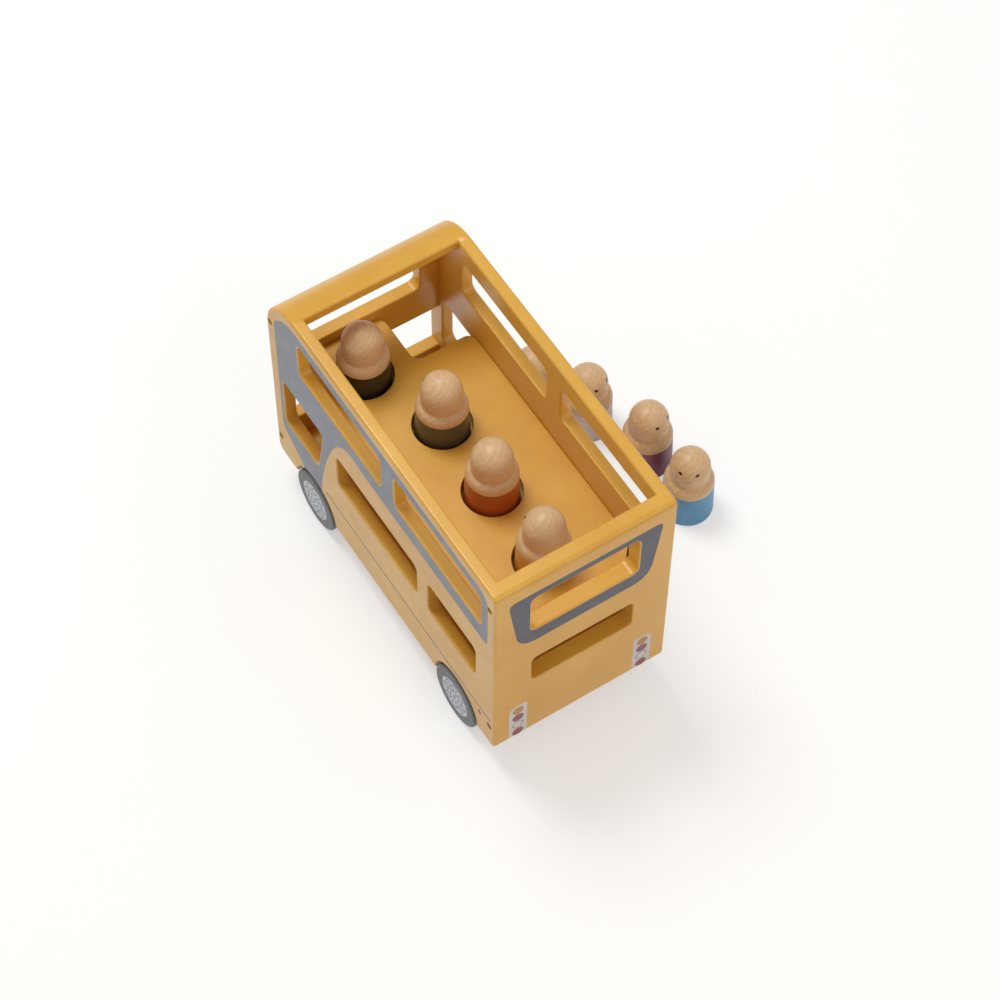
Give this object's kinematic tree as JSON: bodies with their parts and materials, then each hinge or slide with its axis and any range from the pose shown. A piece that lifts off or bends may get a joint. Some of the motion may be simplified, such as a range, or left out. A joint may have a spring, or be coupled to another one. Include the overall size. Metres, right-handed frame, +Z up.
{
  "type": "toy bus",
  "caption": "Wooden double-deck toy bus with an open top, round seat recesses on both decks, wheels on steel axles, and turned peg passengers who lift out.",
  "frame": {"origin": "on the floor, in the middle of the area that the set covers, which is the bus and the four passengers standing on its right", "axes": "+X the way the bus drives, +Y to its left, +Z up"},
  "size_m": [0.28, 0.2448, 0.218],
  "materials": {
    "honey_lacquer": "satin golden lacquer with grey printed window bands",
    "bare_beech": "bare sanded beech",
    "steel": "bright steel rod",
    "bronzed_screws": "dark bronzed steel",
    "grey_wheel_paint": "matt grey paint with a pale printed hub",
    "charcoal_peg": "bare beech head over a satin painted body",
    "olive_peg": "bare beech head over a satin painted body",
    "rust_peg": "bare beech head over a satin painted body",
    "mustard_peg": "bare beech head over a satin painted body",
    "blue_peg": "bare beech head over a satin painted body",
    "burgundy_peg": "bare beech head over a satin painted body",
    "rose_peg": "bare beech head over a satin painted body",
    "sand_peg": "bare beech head over a satin painted body"
  },
  "bodies": {
    "bus": {"left_side_panel": "honey_lacquer", "right_side_panel": "honey_lacquer", "rear_panel": "honey_lacquer", "front_upper_panel": "honey_lacquer", "front_lower_panel": "honey_lacquer", "upper_deck": "honey_lacquer", "lower_deck": "honey_lacquer", "front_axle_block": "bare_beech", "rear_axle_block": "bare_beech", "left_screws": "bronzed_screws", "right_screws": "bronzed_screws", "upper_deck_dowels": "bare_beech", "lower_deck_dowels": "bare_beech"},
    "front_wheelset": {"front_axle": "steel", "front_left_wheel": "grey_wheel_paint", "front_right_wheel": "grey_wheel_paint"},
    "rear_wheelset": {"rear_axle": "steel", "rear_left_wheel": "grey_wheel_paint", "rear_right_wheel": "grey_wheel_paint"},
    "seated_passenger_1": {"seated_passenger_1": "charcoal_peg"},
    "seated_passenger_2": {"seated_passenger_2": "olive_peg"},
    "seated_passenger_3": {"seated_passenger_3": "rust_peg"},
    "seated_passenger_4": {"seated_passenger_4": "mustard_peg"},
    "standing_passenger_1": {"standing_passenger_1": "blue_peg"},
    "standing_passenger_2": {"standing_passenger_2": "burgundy_peg"},
    "standing_passenger_3": {"standing_passenger_3": "rose_peg"},
    "standing_passenger_4": {"standing_passenger_4": "sand_peg"}
  },
  "joints": [
    {"name": "front_wheels_spin", "type": "hinge", "parent": "bus", "child": "front_wheelset", "pos_m": [0.0897, 0.05393, 0.024], "axis": [0, 1, 0], "continuous": true},
    {"name": "rear_wheels_spin", "type": "hinge", "parent": "bus", "child": "rear_wheelset", "pos_m": [-0.0927, 0.05393, 0.024], "axis": [0, 1, 0], "continuous": true},
    {"name": "seated_passenger_1_lift", "type": "slide", "parent": "bus", "child": "seated_passenger_1", "axis": [-0.2241, 0, 0.9746], "range_m": [0, 0.12]},
    {"name": "seated_passenger_2_lift", "type": "slide", "parent": "bus", "child": "seated_passenger_2", "axis": [0, 0, 1], "range_m": [0, 0.12]},
    {"name": "seated_passenger_3_lift", "type": "slide", "parent": "bus", "child": "seated_passenger_3", "axis": [0, 0, 1], "range_m": [0, 0.12]},
    {"name": "seated_passenger_4_lift", "type": "slide", "parent": "bus", "child": "seated_passenger_4", "axis": [0, 0, 1], "range_m": [0, 0.12]},
    {"name": "standing_passenger_1_lift", "type": "slide", "parent": "bus", "child": "standing_passenger_1", "axis": [0, 0, 1], "range_m": [0, 0.12]},
    {"name": "standing_passenger_2_lift", "type": "slide", "parent": "bus", "child": "standing_passenger_2", "axis": [0, 0, 1], "range_m": [0, 0.12]},
    {"name": "standing_passenger_3_lift", "type": "slide", "parent": "bus", "child": "standing_passenger_3", "axis": [0, 0, 1], "range_m": [0, 0.12]},
    {"name": "standing_passenger_4_lift", "type": "slide", "parent": "bus", "child": "standing_passenger_4", "axis": [0, 0, 1], "range_m": [0, 0.12]}
  ]
}
